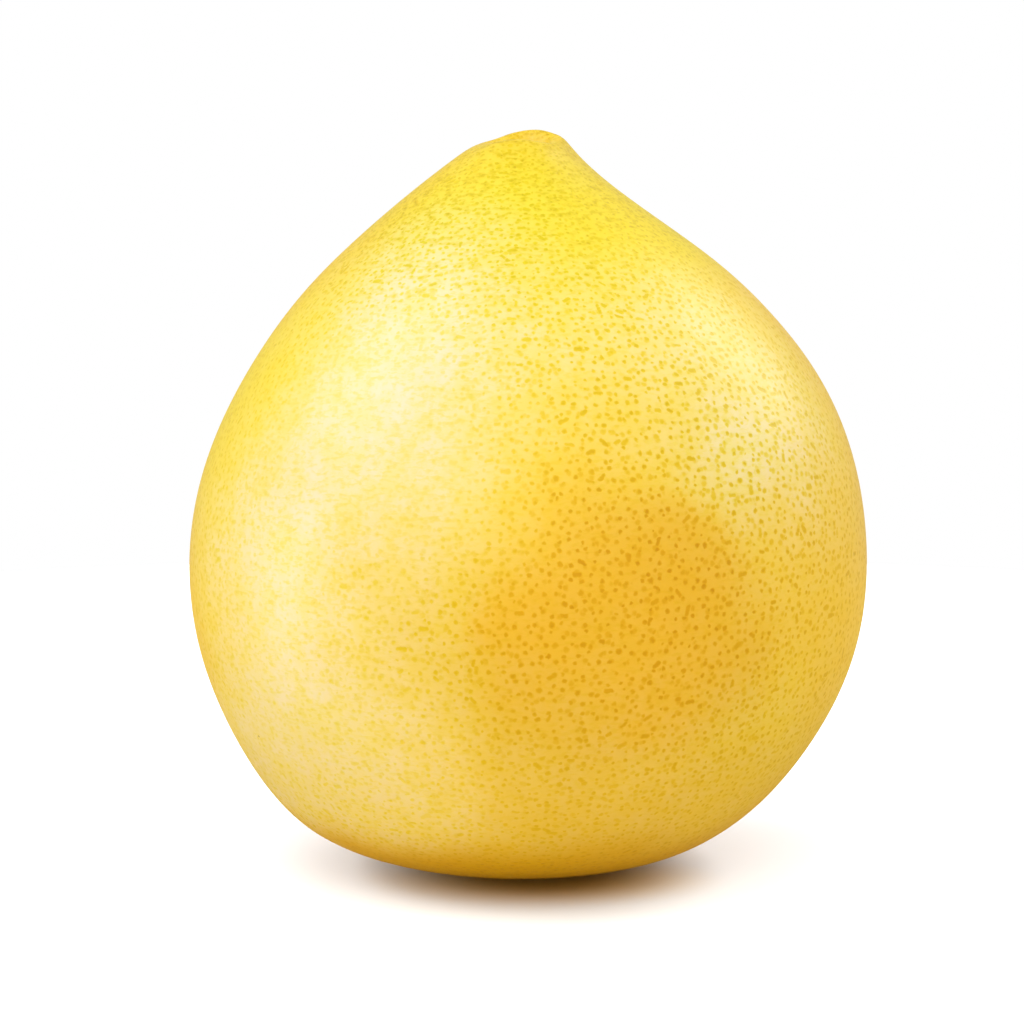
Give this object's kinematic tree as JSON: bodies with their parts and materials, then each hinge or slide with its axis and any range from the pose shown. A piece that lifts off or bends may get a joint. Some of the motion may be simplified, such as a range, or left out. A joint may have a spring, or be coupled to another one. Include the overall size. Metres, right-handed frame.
{
  "type": "whole pomelo",
  "caption": "Whole pear-shaped pomelo with smooth dotted yellow rind, a tapering neck and a stalk scar, resting on a small flat; for food displays, shop shelves and kitchens.",
  "frame": {"origin": "on the plane of the flat the fruit settles on, under the middle of its box", "axes": "+Z from the resting flat up towards the stalk end; the lip's high side faces +Y and a little to +X"},
  "size_m": [0.1492, 0.148, 0.1634],
  "materials": {
    "rind": "satin",
    "stalk_scar": "matte"
  },
  "bodies": {
    "root": {"pomelo": "rind"}
  },
  "joints": []
}
